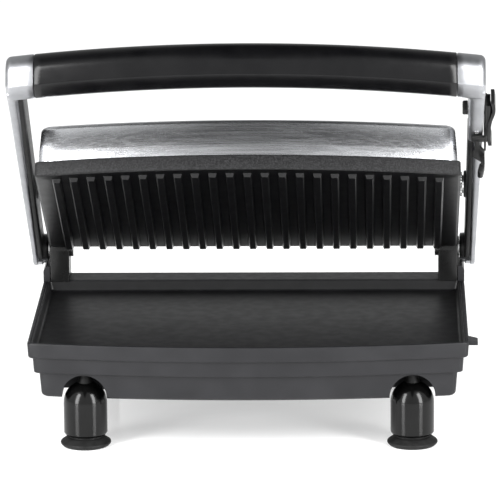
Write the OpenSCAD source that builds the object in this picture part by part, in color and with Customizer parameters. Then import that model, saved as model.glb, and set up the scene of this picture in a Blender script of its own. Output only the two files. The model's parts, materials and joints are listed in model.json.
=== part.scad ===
// Panini press: stepped tray base on four legs, ribbed lid on a pair of lift arms,
// bowed handle and a sliding latch. Millimetres, +Z up, front towards -Y.

/* [Base] */
// Half the width of the tray rim
rim_half = 176; // [172:0.5:186]
// Height of the tray rim above the table
rim_z = 88; // [84:1:96]
// Y of the rim's front corners, before the origin shift
front_y = -115; // [-120:1:-110]
// Y of the base's rear wall, before the origin shift
rear_y = 122; // [122:1:128]
// How far the front edge bows forward at its middle
base_bow = 16; // [10:1:20]
// Thickness of the housing's outer wall
wall = 2.8; // [2:0.2:3]
// Height of the two upper steps of the base
step_h = 12.7; // [12:0.1:13.5]
// Height of the base's underside above the table
base_z = 41.8; // [38:0.2:44]
// Height of the cooking surface
floor_z = 79; // [78:0.5:79]

/* [Legs] */
// Distance of each leg from the middle plane
leg_x = 131; // [124:0.5:134]
// Y of the front legs
front_leg_y = -99; // [-100:1:-98]
// Y of the rear legs
rear_leg_y = 88; // [80:1:92]
// Radius of a leg
leg_r = 17.5; // [16:0.5:17.5]
// Radius of a rubber foot
foot_r = 21; // [19:0.5:22]

/* [Hinge] */
// Y of the arm hinge, before the origin shift
hinge_y = 106; // [106:1:107]
// Height of the arm hinge
hinge_z = 113.7; // [113:0.1:115]
// Radius of the hinge pins
pin_r = 5; // [4:0.5:6]

/* [Arms] */
// Angle of the arms above level in the stored position
arm_angle = 42; // [38:1:46]
// Distance from the hinge to the handle's ends
arm_len = 281; // [278:1:284]
// Half the depth of an arm
arm_half = 13; // [12:0.5:13]
// X of the liner's inner face
liner_in = 176; // [175.5:0.1:176.5]
// X where liner and arm meet
arm_in = 180.3; // [180:0.1:181]
// X of the arm's outer face at the handle
arm_out = 188.8; // [188:0.2:190]

/* [Handle] */
// Radius of the handle's round side
grip_r = 16; // [15:0.5:17]
// How far the handle bows forward at its middle
handle_bow = 20; // [16:1:20]
// Half the length of the black grip
grip_half = 166.4; // [160:0.2:168]

/* [Lid] */
// Half the width of the ribbed casting
lid_half = 170.2; // [168:0.2:170.2]
// Distance from the hinge to the lid's pivot
pivot_reach = 107; // [106:0.5:108]
// Slope of the lid in the stored position
lid_angle = 31; // [30:1:32]
// From the pivot forward to the lid's front corners
lid_front = 103.6; // [100:0.2:104]
// From the pivot back to the lid's rear edge
lid_rear = 84.4; // [80:0.2:84.4]
// From the pivot down to the underside of the casting
lid_drop = 27; // [26:0.5:27]
// Height of the casting's band
band_h = 12.75; // [12:0.25:14]
// Height of the steel cover
cover_h = 32; // [28:0.5:32]
// How far the lid's front edge bows forward
lid_bow = 17; // [12:1:18]
// Number of ribs
rib_count = 23; // [15:2:23]
// Spacing of the ribs
rib_pitch = 13.9; // [12:0.1:13.9]
// Height of the ribs
rib_h = 3; // [2:0.5:3]

/* [Latch] */
// Outer face of the thumb piece
latch_out = 197.6; // [195:0.2:200]
// Travel of the latch along the arm
latch_travel = 30; // [28:1:30]

/* [Hidden] */
$fn = 64;

// Colours
dark_grey = [0.24, 0.24, 0.25];
tray_black = [0.07, 0.07, 0.075];
gloss_black = [0.03, 0.03, 0.035];
rubber_black = [0.10, 0.10, 0.10];
silver = [0.68, 0.69, 0.71];
steel = [0.80, 0.81, 0.83];
plastic_black = [0.06, 0.06, 0.065];

// The whole object's box is centred on X and Y
origin_shift = [-(latch_out - arm_out) / 2, -(front_y - base_bow + rear_y) / 2, 0];

// Steps of the base: half width and set-back from the rim
step_halves = [rim_half, rim_half - 4, rim_half - 9];
step_backs = [0, 4, 8];
step_rears = [rear_y, rear_y - 2, rear_y - 4];
step_tops = [rim_z, rim_z - step_h, rim_z - 2 * step_h];
step_bottoms = [rim_z - step_h, rim_z - 2 * step_h, base_z];

// Tray insert
plate_gap = 0.02;
plate_wall = 2;
plate_half = rim_half - wall - plate_gap;
plate_front = front_y + wall + plate_gap;
plate_rear = 96;
ledge_z = floor_z - 1.2;
plate_bottom = floor_z - 6;

// Leg niches in the front wall
niche_r = 18.2;
niche_z = 43;
niche_back = -79;
niche_wall = 2.5;
leg_base = 9.5;
dome_z = 35.5;
neck_top = 60.1;

// Hinge posts and ears
post_in = 154.3;
post_out = 170.5;
post_r = 15;
ear_top = 100.6;
ear_chamfer = [2, 3.7];
boss_r = 11;
cup_r = 12.8;
boss_in = 172.1;
run_gap = 0.05;

// Arms
arm_pivot_out = 184.6;
arm_end_r = 15;
liner_half = 12;
arm_screw_u = [60, 150];
slot_from = 226;
slot_to = slot_from + 10.8 + latch_travel;
slot_half = 3.5;
pad_from = 200;
pad_to = 268;

// Lid
pivot_y = hinge_y - pivot_reach * cos(arm_angle);
pivot_z = hinge_z + pivot_reach * sin(arm_angle);
cover_inset = 2.7;
cover_draft = 1.8;
cover_wall = 1.5;
cover_round = 5;
band_top = band_h - lid_drop;
bracket_in = 159.6;
bracket_out = 164.2;
bracket_face = 170.7;
bracket_boss_r = 8;
lid_pin_r = 4;
foot_h = 4;
foot_screw_x = (bracket_in + bracket_out) / 2;
foot_screw_y = [-11.5, 11.5];
rib_base = 7.3;
rib_tip = 4.5;
rib_margin = 9;
tube_r = 3.5;

// ---- shared shapes ----

function bow_radius(half, sag) = (half * half + sag * sag) / (2 * sag);

// Y of a bowed front edge at x, for corners at (half, corner_y)
function bow_y(x, half, corner_y, sag) =
    let (r = bow_radius(half, sag)) corner_y + r - sag - sqrt(r * r - x * x);

// Closed outline with a bowed front, a straight rear and round corners
function bowed_outline(half, corner_y, sag, back_y, r) =
    let (side = half - r, fy = bow_y(half - r, half, corner_y, sag) + r, by = back_y - r, n = 24)
    concat(
        [for (i = [0:n]) let (x = side * (2 * i / n - 1)) [x, bow_y(x, half, corner_y, sag)]],
        [for (a = [-72:18:0]) [side + r * cos(a), fy + r * sin(a)]],
        [for (a = [0:18:90]) [side + r * cos(a), by + r * sin(a)]],
        [for (a = [90:18:180]) [-side + r * cos(a), by + r * sin(a)]],
        [for (a = [180:18:252]) [-side + r * cos(a), fy + r * sin(a)]]);

module bowed_prism(half, corner_y, sag, back_y, r, z0, z1)
    translate([0, 0, z0])
        linear_extrude(z1 - z0)
            polygon(bowed_outline(half, corner_y, sag, back_y, r));

// Extrudes a shape drawn in (Y, Z) along X
module along_x(x0, x1)
    translate([x0, 0, 0])
        rotate([90, 0, 90])
            linear_extrude(x1 - x0)
                children();

// Cylinder along X
module rod_x(x0, x1, r)
    translate([x0, 0, 0])
        rotate([0, 90, 0])
            cylinder(h = x1 - x0, r = r);

module both_sides() {
    children();
    mirror([1, 0, 0]) children();
}

module at_origin() translate(origin_shift) children();

// Arm frame: hinge at the origin, the arm runs along -Y, its underside faces -Z
module arm_frame()
    at_origin()
        translate([0, hinge_y, hinge_z])
            rotate([-arm_angle, 0, 0])
                children();

// Lid frame: pivot at the origin, the lid lies level
module lid_frame()
    at_origin()
        translate([0, pivot_y, pivot_z])
            rotate([-lid_angle, 0, 0])
                children();

// Pan-head screw pointing down from z = 0, head above
module screw(shaft_r, head_r, shaft_len, head_h) {
    translate([0, 0, -shaft_len]) cylinder(h = shaft_len, r = shaft_r);
    difference() {
        cylinder(h = head_h, r = head_r);
        translate([0, 0, head_h * 0.5]) cylinder(h = head_h, r = shaft_r * 0.7, $fn = 6);
    }
}

// ---- base ----

module base_steps()
    for (i = [0:2])
        bowed_prism(step_halves[i], front_y + step_backs[i], base_bow, step_rears[i], 4,
                    step_bottoms[i], step_tops[i]);

module niche(r, back, bottom) {
    for (side = [-1, 1])
        translate([side * leg_x, back, niche_z]) {
            rotate([90, 0, 0]) cylinder(h = back - front_y + 30, r = r);
            translate([-r + 0.2, front_y - back - 30, bottom - niche_z])
                cube([2 * r - 0.4, back - front_y + 30, niche_z - bottom]);
        }
}

base_screw_x = 159.6;
base_screw_y = [-55, 60];
post_screw_x = (post_in + post_out) / 2;
post_screw_y = [103, 112];
gland_x = -100;
gland_z = 53.5;
gland_r = 7;
gland_flange_r = 8.8;

module base_housing()
    color(dark_grey)
    at_origin()
    difference() {
        union() {
            difference() {
                base_steps();
                // Seat of the tray insert
                bowed_prism(plate_half + plate_gap, plate_front - plate_gap, base_bow,
                            plate_rear + plate_gap, 2, ledge_z, rim_z + 1);
                // Inside of the middle and lower steps
                bowed_prism(step_halves[1] - wall, front_y + step_backs[1] + wall, base_bow,
                            step_rears[1] - wall, 2, step_bottoms[1] + wall, ledge_z + 0.01);
                bowed_prism(step_halves[2] - wall, front_y + step_backs[2] + wall, base_bow,
                            step_rears[2] - wall, 2, base_z - 1, step_bottoms[1] + wall + 0.01);
                // Hollow under the hinge deck
                translate([wall - step_halves[1], plate_rear + wall, ledge_z])
                    cube([2 * (step_halves[1] - wall),
                          step_rears[1] - plate_rear - 2 * wall, rim_z - wall - ledge_z]);
            }
            intersection() {
                base_steps();
                niche(niche_r + niche_wall, niche_back + niche_wall, base_z);
            }
            // Screw posts for the bottom cover
            for (x = [-base_screw_x, base_screw_x], y = base_screw_y)
                translate([x, y, base_z + wall]) cylinder(h = 16, r = 5);
            // Ears outside the hinge posts
            both_sides()
                translate([0, rear_y, 0])
                    rotate([90, 0, 0])
                        linear_extrude(rear_y - hinge_y + post_r)
                            polygon([[post_out + 0.05, rim_z - 0.28], [rim_half, rim_z - 0.28],
                                     [rim_half, ear_top - ear_chamfer[1]],
                                     [rim_half - ear_chamfer[0], ear_top],
                                     [post_out + 0.05, ear_top]]);
            // Catch for the latch at the right front corner
            translate([0, front_y + 19, 0])
                rotate([90, 0, 0])
                    linear_extrude(12)
                        polygon([[rim_half - 1, rim_z - 4], [rim_half + 7.2, rim_z - 4],
                                 [rim_half + 7.2, rim_z - 1], [rim_half - 1, rim_z + 1]]);
        }
        niche(niche_r, niche_back, base_z - 1);
        for (x = [-leg_x, leg_x])
            translate([x, front_leg_y, niche_z]) cylinder(h = 30, r = 2.7);
        for (x = [-base_screw_x, base_screw_x], y = base_screw_y)
            translate([x, y, base_z]) cylinder(h = 17, r = 1.95);
        for (x = [-post_screw_x, post_screw_x], y = post_screw_y)
            translate([x, y, rim_z - 8]) cylinder(h = 9, r = 2.05);
        translate([gland_x, rear_y - 12, gland_z])
            rotate([-90, 0, 0]) cylinder(h = 20, r = gland_r + 0.05);
    }

module bottom_cover()
    color(plastic_black)
    at_origin()
    difference() {
        bowed_prism(step_halves[2] - wall - 0.2, front_y + step_backs[2] + wall + 0.2, base_bow,
                    step_rears[2] - wall - 0.2, 2, base_z, base_z + wall);
        niche(niche_r + niche_wall + 0.3, niche_back + niche_wall + 0.3, base_z - 1);
        for (x = [-90:15:90], y = [-30, 25])
            translate([x - 2, y - 18, base_z - 1]) cube([4, 36, wall + 2]);
        for (x = [-base_screw_x, base_screw_x], y = base_screw_y)
            translate([x, y, base_z - 1]) {
                cylinder(h = 5, r = 2.1);
                cylinder(h = 2.6, r = 4.1);
            }
        for (x = [-leg_x, leg_x])
            translate([x, rear_leg_y, base_z - 1]) cylinder(h = 5, r = 2.7);
    }

module lower_plate()
    color(tray_black)
    at_origin()
    difference() {
        union() {
            bowed_prism(plate_half, plate_front, base_bow, plate_rear, 2, ledge_z, rim_z - 0.3);
            bowed_prism(step_halves[1] - wall - 0.4, front_y + step_backs[1] + wall + 0.4,
                        base_bow, plate_rear - 2, 2, plate_bottom, ledge_z + 0.01);
        }
        bowed_prism(plate_half - plate_wall, plate_front + plate_wall, base_bow,
                    plate_rear - plate_wall, 3, floor_z, rim_z + 1);
    }

// One hairpin heating tube lying level: two runs along X joined by a half ring
module hairpin(run, half_gap, z, pin_len)
    translate([0, 0, z]) {
        for (side = [-1, 1])
            translate([0, side * half_gap, 0]) {
                rod_x(-run, run, tube_r);
                rod_x(run, run + pin_len, 1.5);
            }
        translate([-run, 0, 0])
            rotate([0, 0, 90])
                rotate_extrude(angle = 180)
                    translate([half_gap, 0]) circle(r = tube_r);
    }

module lower_heating_element()
    color([0.45, 0.42, 0.40])
    at_origin()
    translate([0, -8, 0])
    hairpin(95, 48, plate_bottom - tube_r - 0.3, 22);

module lower_heat_shield()
    color(steel)
    at_origin()
    translate([-145, -72, 60])
    difference() {
        cube([290, 152, 5]);
        translate([1, 1, 1]) cube([288, 150, 5]);
        for (x = [40:60:250]) translate([x, 76, -1]) cylinder(h = 3, r = 4);
    }

module lower_thermostat()
    color([0.75, 0.70, 0.62])
    at_origin()
    translate([0, -8, 0]) {
        translate([0, 0, plate_bottom - 9]) cylinder(h = 8.9, r = 9);
        translate([-16, -4, plate_bottom - 1.6]) cube([32, 8, 1.5]);
        for (x = [-6, 6]) translate([x - 0.5, -3, plate_bottom - 11.5]) cube([1, 6, 3]);
    }

module thermal_fuse()
    color([0.82, 0.78, 0.55])
    at_origin()
    translate([0, 12, plate_bottom - 4]) {
        rod_x(45, 62, 2.4);
        rod_x(30, 45.5, 0.6);
        rod_x(61.5, 77, 0.6);
    }

module terminal_block()
    color([0.86, 0.84, 0.78])
    at_origin()
    translate([gland_x - 18, 84, base_z + wall])
    difference() {
        cube([36, 14, 9]);
        for (i = [0:2])
            translate([6 + 12 * i, -1, 4]) rotate([-90, 0, 0]) cylinder(h = 16, r = 2);
        for (i = [0:2], y = [3.5, 10.5])
            translate([6 + 12 * i, y, 5]) cylinder(h = 6, r = 1.6);
    }

module cord_gland()
    color(plastic_black)
    at_origin()
    translate([gland_x, 0, gland_z])
    rotate([-90, 0, 0])
    difference() {
        union() {
            translate([0, 0, step_rears[2] - 9]) cylinder(h = 12, r = gland_r);
            translate([0, 0, step_rears[2]]) cylinder(h = 3.5, r = gland_flange_r);
            translate([0, 0, step_rears[2] - wall - 4]) cylinder(h = 4, r = 10, $fn = 6);
        }
        translate([0, 0, step_rears[2] - 10]) cylinder(h = 15, r = 4);
    }

// ---- hinge ----

module hinge_post()
    difference() {
        along_x(post_in, post_out)
            union() {
                translate([hinge_y, hinge_z]) circle(r = post_r);
                translate([hinge_y - post_r + 0.5, rim_z])
                    square([2 * post_r - 1, hinge_z - rim_z]);
            }
        translate([0, hinge_y, hinge_z]) rod_x(post_in - 1, post_out + 1, pin_r + 0.02);
        for (y = post_screw_y)
            translate([post_screw_x, y, rim_z - 1]) cylinder(h = 9, r = 2);
    }

module left_hinge_post() color(tray_black) at_origin() mirror([1, 0, 0]) hinge_post();

module right_hinge_post() color(tray_black) at_origin() hinge_post();

module hinge_pins()
    color(steel)
    at_origin()
    both_sides()
    translate([0, hinge_y, hinge_z]) {
        rod_x(post_in - 3, 183, pin_r);
        rod_x(post_in - 3, post_in - 0.1, pin_r + 2.5);
    }

module hinge_washers()
    color(steel)
    at_origin()
    both_sides()
    translate([0, hinge_y, hinge_z])
    difference() {
        rod_x(post_out + 0.02, boss_in - 0.35, 9);
        rod_x(post_out - 1, boss_in + 1, pin_r + 0.03);
    }

// ---- legs ----

leg_profile = concat(
    [[0, leg_base], [leg_r - 1.2, leg_base], [leg_r, leg_base + 1.2], [leg_r, dome_z]],
    [for (a = [6:6:84]) [leg_r * cos(a), dome_z + leg_r * sin(a)]],
    [[0, dome_z + leg_r]]);

module front_leg()
    difference() {
        union() {
            rotate_extrude() polygon(leg_profile);
            translate([0, 0, dome_z + leg_r - 4]) cylinder(h = neck_top - dome_z - leg_r + 4, r = 6);
        }
        translate([0, 0, leg_base - 1]) cylinder(h = 6, r = 8);
        translate([0, 0, 44]) cylinder(h = 20, r = 2.5);
    }

module rear_leg()
    difference() {
        rotate_extrude()
            polygon([[0, leg_base], [leg_r - 1.2, leg_base], [leg_r, leg_base + 1.2],
                     [leg_r, base_z - 0.02], [0, base_z - 0.02]]);
        translate([0, 0, leg_base - 1]) cylinder(h = 6, r = 8);
        translate([0, 0, 26]) cylinder(h = 20, r = 2.5);
    }

module front_leg_left() color(gloss_black) at_origin() translate([-leg_x, front_leg_y]) front_leg();

module front_leg_right() color(gloss_black) at_origin() translate([leg_x, front_leg_y]) front_leg();

module rear_leg_left() color(gloss_black) at_origin() translate([-leg_x, rear_leg_y]) rear_leg();

module rear_leg_right() color(gloss_black) at_origin() translate([leg_x, rear_leg_y]) rear_leg();

module foot_pads()
    color(rubber_black)
    at_origin()
    for (x = [-leg_x, leg_x], y = [front_leg_y, rear_leg_y])
        translate([x, y, 0])
            rotate_extrude()
                polygon([[0, 0], [foot_r - 3, 0], [foot_r - 0.8, 1.2], [foot_r, 3],
                         [foot_r - 1.5, 4.8], [foot_r - 6, 6.8], [14, 7.6], [13, leg_base],
                         [7.9, leg_base], [7.9, leg_base + 4.5], [0, leg_base + 4.5]]);

module leg_screws()
    color(steel)
    at_origin()
    for (x = [-leg_x, leg_x]) {
        translate([x, front_leg_y, niche_z + niche_r + niche_wall + 0.1])
            screw(2.4, 5, 17, 3);
        translate([x, rear_leg_y, base_z + wall + 0.05])
            screw(2.4, 5, 17, 3);
    }

module base_screws()
    color(steel)
    at_origin()
    for (x = [-base_screw_x, base_screw_x], y = base_screw_y)
        translate([x, y, base_z + 1.5])
            rotate([180, 0, 0]) screw(1.9, 4, 13, 1.4);

module post_screws()
    color(steel)
    at_origin()
    for (x = [-post_screw_x, post_screw_x], y = post_screw_y)
        translate([x, y, rim_z - wall - 0.05])
            rotate([180, 0, 0]) screw(1.95, 3.6, 10.5, 2.4);

// ---- arms and handle, drawn level in the arm frame ----

bow_c = arm_len + handle_bow - bow_radius(arm_out, handle_bow);
cap_screw_x = 173;
cap_screw_u = bow_c + sqrt(pow(bow_radius(arm_out, handle_bow), 2) - pow(cap_screw_x, 2));
crease = [10.5, 16];
crease_turn = atan2(crease[1], crease[0]) - acos(grip_r / norm(crease));

// Handle section in (outward, down): round on top, flat below, one crisp lower front edge
heel_r = grip_r / 2;
grip_section = concat(
    [for (a = [180:10:350]) grip_r * [cos(a), sin(a)]],
    [for (a = [0:8:crease_turn]) grip_r * [cos(a), sin(a)]],
    [crease],
    [for (a = [90:15:165]) heel_r * [cos(a) - 1, sin(a) + 1]]);

// Sweeps a section (outward, down) along the handle's bow between two X planes
module swept_handle(x0, x1)
    intersection() {
        translate([0, -bow_c, 0])
            rotate([180, 0, 14 - 90])
                rotate_extrude(angle = 28, $fn = 720)
                    translate([bow_radius(arm_out, handle_bow), 0]) children();
        translate([x0, -arm_len - 60, -40]) cube([x1 - x0, 120, 80]);
    }

// Axis of the screw sunk in the back of a handle cap, z = 0 at the cap's surface
module handle_screw_axis()
    translate([cap_screw_x, grip_r - cap_screw_u, 0])
        rotate([-90, 0, 0])
            children();

module arm_blank(x0, x1, half, end_r, reach)
    along_x(x0, x1)
        union() {
            circle(r = end_r);
            translate([-reach, -half]) square([reach, 2 * half]);
        }

module silver_arm()
    difference() {
        union() {
            intersection() {
                arm_blank(arm_in, arm_out, arm_half, arm_end_r, 272);
                translate([0, 0, -20])
                    linear_extrude(40)
                        polygon([[arm_in, 20], [arm_pivot_out, 20],
                                 [arm_out, -arm_len - 10], [arm_in, -arm_len - 10]]);
            }
            swept_handle(grip_half, arm_out) polygon(grip_section);
            // Cup around the liner's boss, open towards the arm's inner side
            difference() {
                rod_x(boss_in + 0.4, arm_in + 0.5, cup_r);
                rod_x(boss_in, arm_in + 0.4, boss_r + 0.05);
                translate([boss_in, -cup_r - 1, -cup_r - 1])
                    cube([arm_in - boss_in + 1, cup_r + 1 + run_gap, 2 * cup_r + 2]);
            }
        }
        rod_x(arm_in - 1, 183.1, pin_r + run_gap);
        swept_handle(grip_half - 1, 180) circle(r = 8.05);
        for (u = arm_screw_u)
            translate([182.6, -u, arm_half - 8]) cylinder(h = 9, r = 1.5);
        handle_screw_axis() {
            translate([0, 0, -14]) cylinder(h = 14, r = 2);
            translate([0, 0, -2.1]) cylinder(h = 4, r = 3.6);
        }
    }

module arm_liner(reach)
    difference() {
        union() {
            arm_blank(liner_in, arm_in - 0.02, liner_half, boss_r, reach);
            rod_x(boss_in, liner_in + 1, boss_r);
            translate([0, -pivot_reach, 0]) rod_x(liner_in - 2, liner_in + 1, 11);
        }
        rod_x(boss_in - 1, arm_in + 1, pin_r + run_gap);
        translate([0, -pivot_reach, 0]) rod_x(liner_in - 3, arm_in + 1, lid_pin_r + run_gap);
    }

module latch_slot()
    translate([boss_in, -slot_to, -slot_half])
        cube([40, slot_to - slot_from, 2 * slot_half]);

module left_arm() color(silver) arm_frame() mirror([1, 0, 0]) silver_arm();

module right_arm()
    color(silver)
    arm_frame()
    difference() {
        union() {
            silver_arm();
            // Thicker end that guides the latch, in line with the liner
            translate([liner_in, -pad_to, -liner_half])
                cube([arm_in - liner_in + 0.5, pad_to - pad_from, 2 * liner_half]);
        }
        latch_slot();
        translate([182.9, -214, -arm_half - 1]) cylinder(h = 9, r = 1.5);
    }

module left_arm_liner() color(plastic_black) arm_frame() mirror([1, 0, 0]) arm_liner(262);

module right_arm_liner() color(plastic_black) arm_frame() arm_liner(pad_from - 0.3);

module handle_grip()
    color(gloss_black)
    arm_frame()
    difference() {
        swept_handle(-grip_half + 0.05, grip_half - 0.05) polygon(grip_section);
        swept_handle(-grip_half - 1, grip_half + 1) circle(r = 8.05);
    }

module handle_core()
    color(steel)
    arm_frame()
    difference() {
        swept_handle(-179.9, 179.9) circle(r = 8);
        both_sides() handle_screw_axis() translate([0, 0, -14]) cylinder(h = 14, r = 2);
    }

module handle_screws()
    color(steel)
    arm_frame()
    both_sides()
    handle_screw_axis() translate([0, 0, -2.05]) screw(1.95, 3.4, 11, 1.6);

module arm_screws()
    color(steel)
    arm_frame() {
        both_sides()
            for (u = arm_screw_u)
                translate([182.6, -u, arm_half + 0.05])
                    screw(1.45, 2, 6.5, 1.1);
        translate([182.9, -214, -arm_half - 0.05])
            rotate([180, 0, 0]) screw(1.45, 2.3, 6.5, 0.3);
    }

module lid_pivot_washers()
    color(steel)
    arm_frame()
    both_sides()
    translate([0, -pivot_reach, 0])
    difference() {
        union() {
            rod_x(bracket_face + 0.4, bracket_face + 1.9, 10);
            rod_x(bracket_face + 1.8, liner_in - 2.02, 7.5);
        }
        rod_x(bracket_face, liner_in, lid_pin_r + run_gap);
    }

// ---- lid, drawn level in the lid frame ----

lid_tab_x = [-120, -45, 45, 120];
tab_screw_h = 6;
tab_screw_in = cover_draft * tab_screw_h / (cover_h - cover_round) - 0.25;
lens_x = 11;
lens_y = -88;

module ribs()
    for (i = [0:rib_count - 1]) {
        x = (i - (rib_count - 1) / 2) * rib_pitch;
        y0 = bow_y(x, lid_half, -lid_front, lid_bow) + rib_margin;
        translate([x, lid_rear - 2, -lid_drop])
            rotate([90, 0, 0])
                linear_extrude(lid_rear - 2 - y0)
                    polygon([[-rib_base / 2, 0.5], [-rib_tip / 2, -rib_h],
                             [rib_tip / 2, -rib_h], [rib_base / 2, 0.5]]);
    }

module upper_plate()
    color(tray_black)
    lid_frame()
    difference() {
        union() {
            bowed_prism(lid_half, -lid_front, lid_bow, lid_rear, 3, -lid_drop, band_top);
            ribs();
            for (x = lid_tab_x)
                translate([x - 6, 66, band_top - 2]) cube([12, 9, 14]);
        }
        bowed_prism(lid_half - 11, -lid_front + 11, lid_bow, 64, 3, 6 - lid_drop, band_top + 1);
        for (x = [-foot_screw_x, foot_screw_x], y = foot_screw_y)
            translate([x, y, band_top - 7]) cylinder(h = 8, r = 1.4);
        for (x = lid_tab_x)
            translate([x, 60, band_top + tab_screw_h])
                rotate([-90, 0, 0]) cylinder(h = 20, r = 1.6);
    }

// Lid cover blank: drafted sides and a rounded top edge
module cover_blank(inset, top, r)
    hull()
        for (a = [-15:15:90]) {
            in = a < 0 ? inset : inset + cover_draft + r * (1 - cos(a));
            bowed_prism(lid_half - in, -lid_front + in, lid_bow, lid_rear - in, 7,
                        band_top + 0.02, a < 0 ? band_top + 0.5 : top - r * (1 - sin(a)));
        }

module lid_cover()
    color(steel)
    lid_frame()
    difference() {
        cover_blank(cover_inset, band_top + cover_h, cover_round);
        translate([0, 0, -0.5])
            cover_blank(cover_inset + cover_wall, band_top + cover_h - cover_wall + 0.5,
                        cover_round - cover_wall);
        for (x = lid_tab_x)
            translate([x, 70, band_top + tab_screw_h]) rotate([-90, 0, 0]) cylinder(h = 20, r = 1.7);
        for (x = [-lens_x, lens_x])
            translate([x, lens_y, band_top + cover_h - 4]) cylinder(h = 6, r = 3.2);
        both_sides() rod_x(bracket_in, lid_half, bracket_boss_r + 0.4);
    }

module lid_bracket()
    difference() {
        union() {
            along_x(bracket_in, bracket_out)
                union() {
                    circle(r = 9);
                    polygon([[-14, band_top + 0.02], [14, band_top + 0.02],
                             [14, band_top + foot_h], [9.1, band_top + foot_h],
                             [8.5, 1], [-8.5, 1],
                             [-9.1, band_top + foot_h], [-14, band_top + foot_h]]);
                }
            // Boss that passes through the cover's side
            rod_x(bracket_in + 1, bracket_face, bracket_boss_r);
        }
        rod_x(bracket_in - 1, bracket_face + 1, lid_pin_r + 0.02);
        for (y = foot_screw_y)
            translate([foot_screw_x, y, band_top - 1]) cylinder(h = 8, r = 1.4);
    }

module left_lid_bracket() color(plastic_black) lid_frame() mirror([1, 0, 0]) lid_bracket();

module right_lid_bracket() color(plastic_black) lid_frame() lid_bracket();

module lid_pivot_pins()
    color(steel)
    lid_frame()
    both_sides()
    rod_x(bracket_in + 0.3, arm_in - 0.6, lid_pin_r);

module upper_heating_element()
    color([0.45, 0.42, 0.40])
    lid_frame()
    translate([0, -12, 0])
    hairpin(95, 42, 6.3 - lid_drop + tube_r, 22);

module upper_heat_shield()
    color(steel)
    lid_frame()
    translate([-146, -88, band_top + 2])
    difference() {
        cube([292, 150, 4]);
        translate([1, 1, 1]) cube([290, 148, 4]);
        for (x = [40:70:250]) translate([x, 75, -1]) cylinder(h = 3, r = 4);
    }

module upper_thermostat()
    color([0.75, 0.70, 0.62])
    lid_frame()
    translate([0, -12, 6.1 - lid_drop]) {
        cylinder(h = 7, r = 9);
        translate([-16, -4, 0]) cube([32, 8, 1.5]);
    }

module lid_screws()
    color(steel)
    lid_frame()
    for (x = lid_tab_x)
        translate([x, lid_rear - cover_inset - tab_screw_in, band_top + tab_screw_h])
            rotate([-90, 0, 0]) screw(1.55, 3, 12, 1.5);

module bracket_screws()
    color(steel)
    lid_frame()
    both_sides()
    for (y = foot_screw_y)
        translate([foot_screw_x, y, band_top + foot_h + 0.05]) screw(1.35, 2.2, 9, 1.2);

module light_lens()
    translate([0, lens_y, band_top + cover_h - 3])
        rotate_extrude()
            polygon([[0, 0], [3.1, 0], [3.1, 3.2], [2.2, 3.9], [0, 4.1]]);

module power_light_lens() color("red") lid_frame() translate([-lens_x, 0, 0]) light_lens();

module ready_light_lens() color("green") lid_frame() translate([lens_x, 0, 0]) light_lens();

// ---- latch, drawn level in the arm frame ----

stem_from = slot_from + 0.4;
stem_len = 10;
stem_half = 3.1;
thumb_half = 7;
latch_screw_u = stem_from + stem_len / 2;
grip_in = 188.9;
shoe_in = 171.2;
shoe_half = 3.9;
hook_out = 189.6;
web_low = 16.5;
plate_low = 17.2;
tip_r = 2.4;
shoe_sink = 1.6;
carrier_top = -arm_half - 0.5;

module latch_thumb_grip()
    color(plastic_black)
    arm_frame()
    difference() {
        union() {
            translate([grip_in, -240, -6]) cube([4, 50, 12]);
            translate([0, 0, -thumb_half])
                linear_extrude(2 * thumb_half)
                    polygon([[192.2, -247], [195, -249.4], [196.2, -249], [latch_out - 0.5, -243],
                             [latch_out, -236], [latch_out - 0.9, -229], [latch_out - 2.6, -221],
                             [latch_out - 3.2, -212], [latch_out - 3.4, -200],
                             [latch_out - 2.9, -190], [latch_out - 2.2, -180.6],
                             [latch_out - 4.6, -181.4], [191.8, -196]]);
            translate([liner_in + 0.5, -stem_from - stem_len, -stem_half])
                cube([grip_in - liner_in, stem_len, 2 * stem_half]);
        }
        translate([liner_in - 1, -latch_screw_u, 0]) rod_x(0, 10, 1.5);
    }

module latch_hook()
    color(plastic_black)
    arm_frame()
    difference() {
        union() {
            // Side web beside the arm
            translate([grip_in, -214, -web_low]) cube([1.6, 23.9, 8.4]);
            // Carrier across the arm's underside
            translate([178.4, -211, -web_low]) cube([grip_in - 178.4 + 1, 7, web_low + carrier_top]);
            // Slanted plate from the carrier to the arm's outer side
            translate([0, 0, -plate_low])
                linear_extrude(plate_low + carrier_top)
                    polygon([[181.6, -206], [185, -206], [185.4, -196], [hook_out, -187.5],
                             [hook_out, -174], [187.2, -172.4], [179.4, -182], [181.2, -195]]);
            // Hanging bar and its tip, which points down and inward
            translate([hook_out - 2.9, -183.6, -25.6]) cube([2.9, 10.2, 25.6 + carrier_top]);
            translate([0, -173.5, 0])
                rotate([90, 0, 0])
                    linear_extrude(9.3)
                        union() {
                            polygon([[hook_out, -24.2], [hook_out - tip_r * 0.4, -30.8],
                                     [183.6, -29.8], [hook_out - 4.2, -23.4]]);
                            translate([186, -30.3]) circle(r = tip_r);
                        }
        }
        translate([182.9, -214, -20]) cylinder(h = 10, r = 2.9);
    }

module latch_shoe()
    color(plastic_black)
    arm_frame()
    difference() {
        translate([shoe_in, -latch_screw_u - shoe_half, -shoe_half - 0.6])
            cube([liner_in - shoe_in - 0.4, 2 * shoe_half, 2 * shoe_half + 1.2]);
        translate([0, -latch_screw_u, 0]) {
            rod_x(shoe_in - 1, liner_in, 1.5);
            rod_x(shoe_in - 1, shoe_in + shoe_sink, 2.8);
        }
    }

module latch_screw()
    color(steel)
    arm_frame()
    translate([shoe_in + shoe_sink - 0.05, -latch_screw_u, 0])
        rotate([0, -90, 0]) screw(1.45, 2.6, 11, 1.4);

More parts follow.
